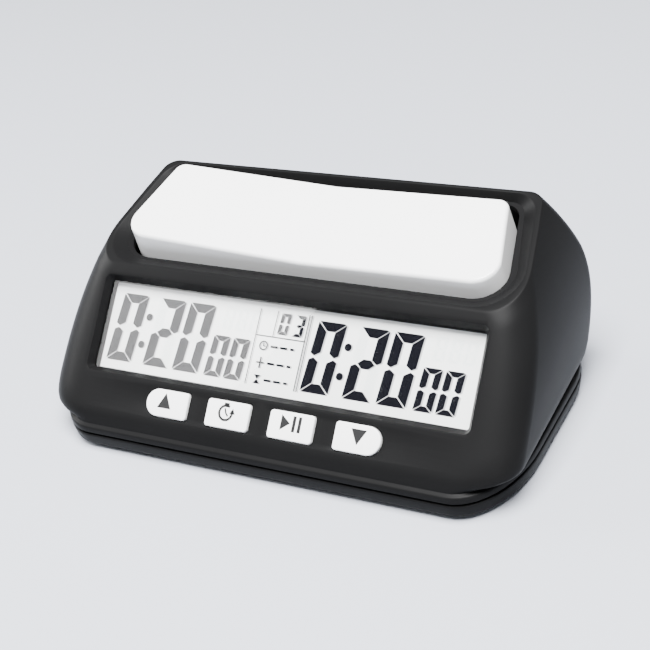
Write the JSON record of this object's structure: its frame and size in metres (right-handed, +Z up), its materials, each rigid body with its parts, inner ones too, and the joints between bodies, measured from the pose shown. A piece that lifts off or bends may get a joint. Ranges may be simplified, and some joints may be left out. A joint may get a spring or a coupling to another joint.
{
  "type": "digital chess clock",
  "caption": "Wedge-shaped digital chess clock with a see-saw rocker on top, a wide split display, a row of front keys and a battery door below.",
  "frame": {"origin": "on the floor, below the middle of the whole object's box", "axes": "+X to the right as the players' display is read, +Y towards the back, +Z up; the display faces -Y and up"},
  "size_m": [0.1558, 0.0851, 0.06],
  "materials": {
    "case_black": "satin moulded black plastic",
    "base_black": "fine matt moulded black plastic",
    "rocker_white": "polished white plastic",
    "key_white": "smooth white plastic with printed grey symbols",
    "inner_black": "plain black plastic",
    "foot_rubber": "black rubber",
    "bright_steel": "nickel-plated steel",
    "screw_steel": "zinc-plated steel",
    "buzzer_brass": "brass disc",
    "board_green": "green solder mask on glass-fibre board",
    "switch_black": "black switch body",
    "stem_brown": "brown switch stem",
    "window_clear": "clear acrylic pane",
    "lcd_glass": "liquid crystal glass with black digits on a pale grey ground",
    "lcd_reflector": "white reflector sheet",
    "zebra_rubber": "layered conductive rubber",
    "epoxy_black": "black epoxy blob",
    "capacitor_sleeve": "dark blue sleeve",
    "cell_jacket": "printed cell jacket without lettering",
    "lead_red": "red insulation",
    "lead_black": "black insulation"
  },
  "bodies": {
    "housing": {"aa_cell": "cell_jacket", "board_screw_left": "screw_steel", "board_screw_right": "screw_steel", "buzzer": "buzzer_brass", "capacitor": "capacitor_sleeve", "carrier_screw_left": "screw_steel", "carrier_screw_right": "screw_steel", "case_screw_front_left": "screw_steel", "case_screw_front_right": "screw_steel", "case_screw_rear_left": "screw_steel", "case_screw_rear_right": "screw_steel", "clock_crystal": "bright_steel", "contact_plate": "bright_steel", "contact_spring": "bright_steel", "controller_chip": "epoxy_black", "detent_spring": "bright_steel", "display_frame": "inner_black", "display_window": "window_clear", "foot_front_left": "foot_rubber", "foot_front_right": "foot_rubber", "foot_rear_left": "foot_rubber", "foot_rear_right": "foot_rubber", "lcd_glass": "lcd_glass", "lcd_reflector": "lcd_reflector", "lead_buzzer_a": "lead_red", "lead_buzzer_b": "lead_black", "lead_negative": "lead_black", "lead_positive": "lead_red", "lower_housing": "base_black", "main_board": "board_green", "microswitch_left": "switch_black", "microswitch_right": "switch_black", "plunger_spring_left": "bright_steel", "plunger_spring_right": "bright_steel", "rocker_carrier": "inner_black", "rocker_pin": "bright_steel", "switch_board": "board_green", "switch_board_screw_left": "screw_steel", "switch_board_screw_right": "screw_steel", "tact_switch_1": "switch_black", "tact_switch_2": "switch_black", "tact_switch_3": "switch_black", "tact_switch_4": "switch_black", "upper_housing": "case_black", "zebra_strip_lower": "zebra_rubber", "zebra_strip_upper": "zebra_rubber"},
    "rocker": {"rocker_bar": "rocker_white"},
    "plunger_left_body": {"plunger_left": "inner_black"},
    "plunger_right_body": {"plunger_right": "inner_black"},
    "battery_door_body": {"battery_door": "base_black"},
    "key_up_body": {"key_up": "key_white", "tact_stem_1": "stem_brown"},
    "key_reset_body": {"key_reset": "key_white", "tact_stem_2": "stem_brown"},
    "key_play_pause_body": {"key_play_pause": "key_white", "tact_stem_3": "stem_brown"},
    "key_down_body": {"key_down": "key_white", "tact_stem_4": "stem_brown"}
  },
  "joints": [
    {"name": "rocker_tilt", "type": "hinge", "parent": "housing", "child": "rocker", "pos_m": [0, 0.0194, 0.0443], "axis": [0, -0.9622, -0.2723], "range_deg": [0, 3.2]},
    {"name": "plunger_left_slide", "type": "slide", "parent": "housing", "child": "plunger_left_body", "axis": [0, -0.2723, 0.9622], "range_m": [-0.00251, 0], "deforming": ["plunger_spring_left"]},
    {"name": "plunger_right_slide", "type": "slide", "parent": "housing", "child": "plunger_right_body", "axis": [0, -0.2723, 0.9622], "range_m": [0, 0.00251], "deforming": ["plunger_spring_right"]},
    {"name": "key_up_press", "type": "slide", "parent": "housing", "child": "key_up_body", "axis": [0, 0.6871, -0.7266], "range_m": [0, 0.0008], "stiffness_N_per_m": 600, "springref_m": -0.0005},
    {"name": "key_reset_press", "type": "slide", "parent": "housing", "child": "key_reset_body", "axis": [0, 0.6871, -0.7266], "range_m": [0, 0.0008], "stiffness_N_per_m": 600, "springref_m": -0.0005},
    {"name": "key_play_pause_press", "type": "slide", "parent": "housing", "child": "key_play_pause_body", "axis": [0, 0.6871, -0.7266], "range_m": [0, 0.0008], "stiffness_N_per_m": 600, "springref_m": -0.0005},
    {"name": "key_down_press", "type": "slide", "parent": "housing", "child": "key_down_body", "axis": [0, 0.6871, -0.7266], "range_m": [0, 0.0008], "stiffness_N_per_m": 600, "springref_m": -0.0005},
    {"name": "battery_door_slide", "type": "slide", "parent": "housing", "child": "battery_door_body", "axis": [0, 1, 0], "range_m": [0, 0.03]}
  ],
  "couplings": [
    {"joint": "plunger_left_slide", "follows": "rocker_tilt", "m_per_rad": -0.045},
    {"joint": "plunger_right_slide", "follows": "rocker_tilt", "m_per_rad": 0.045}
  ]
}
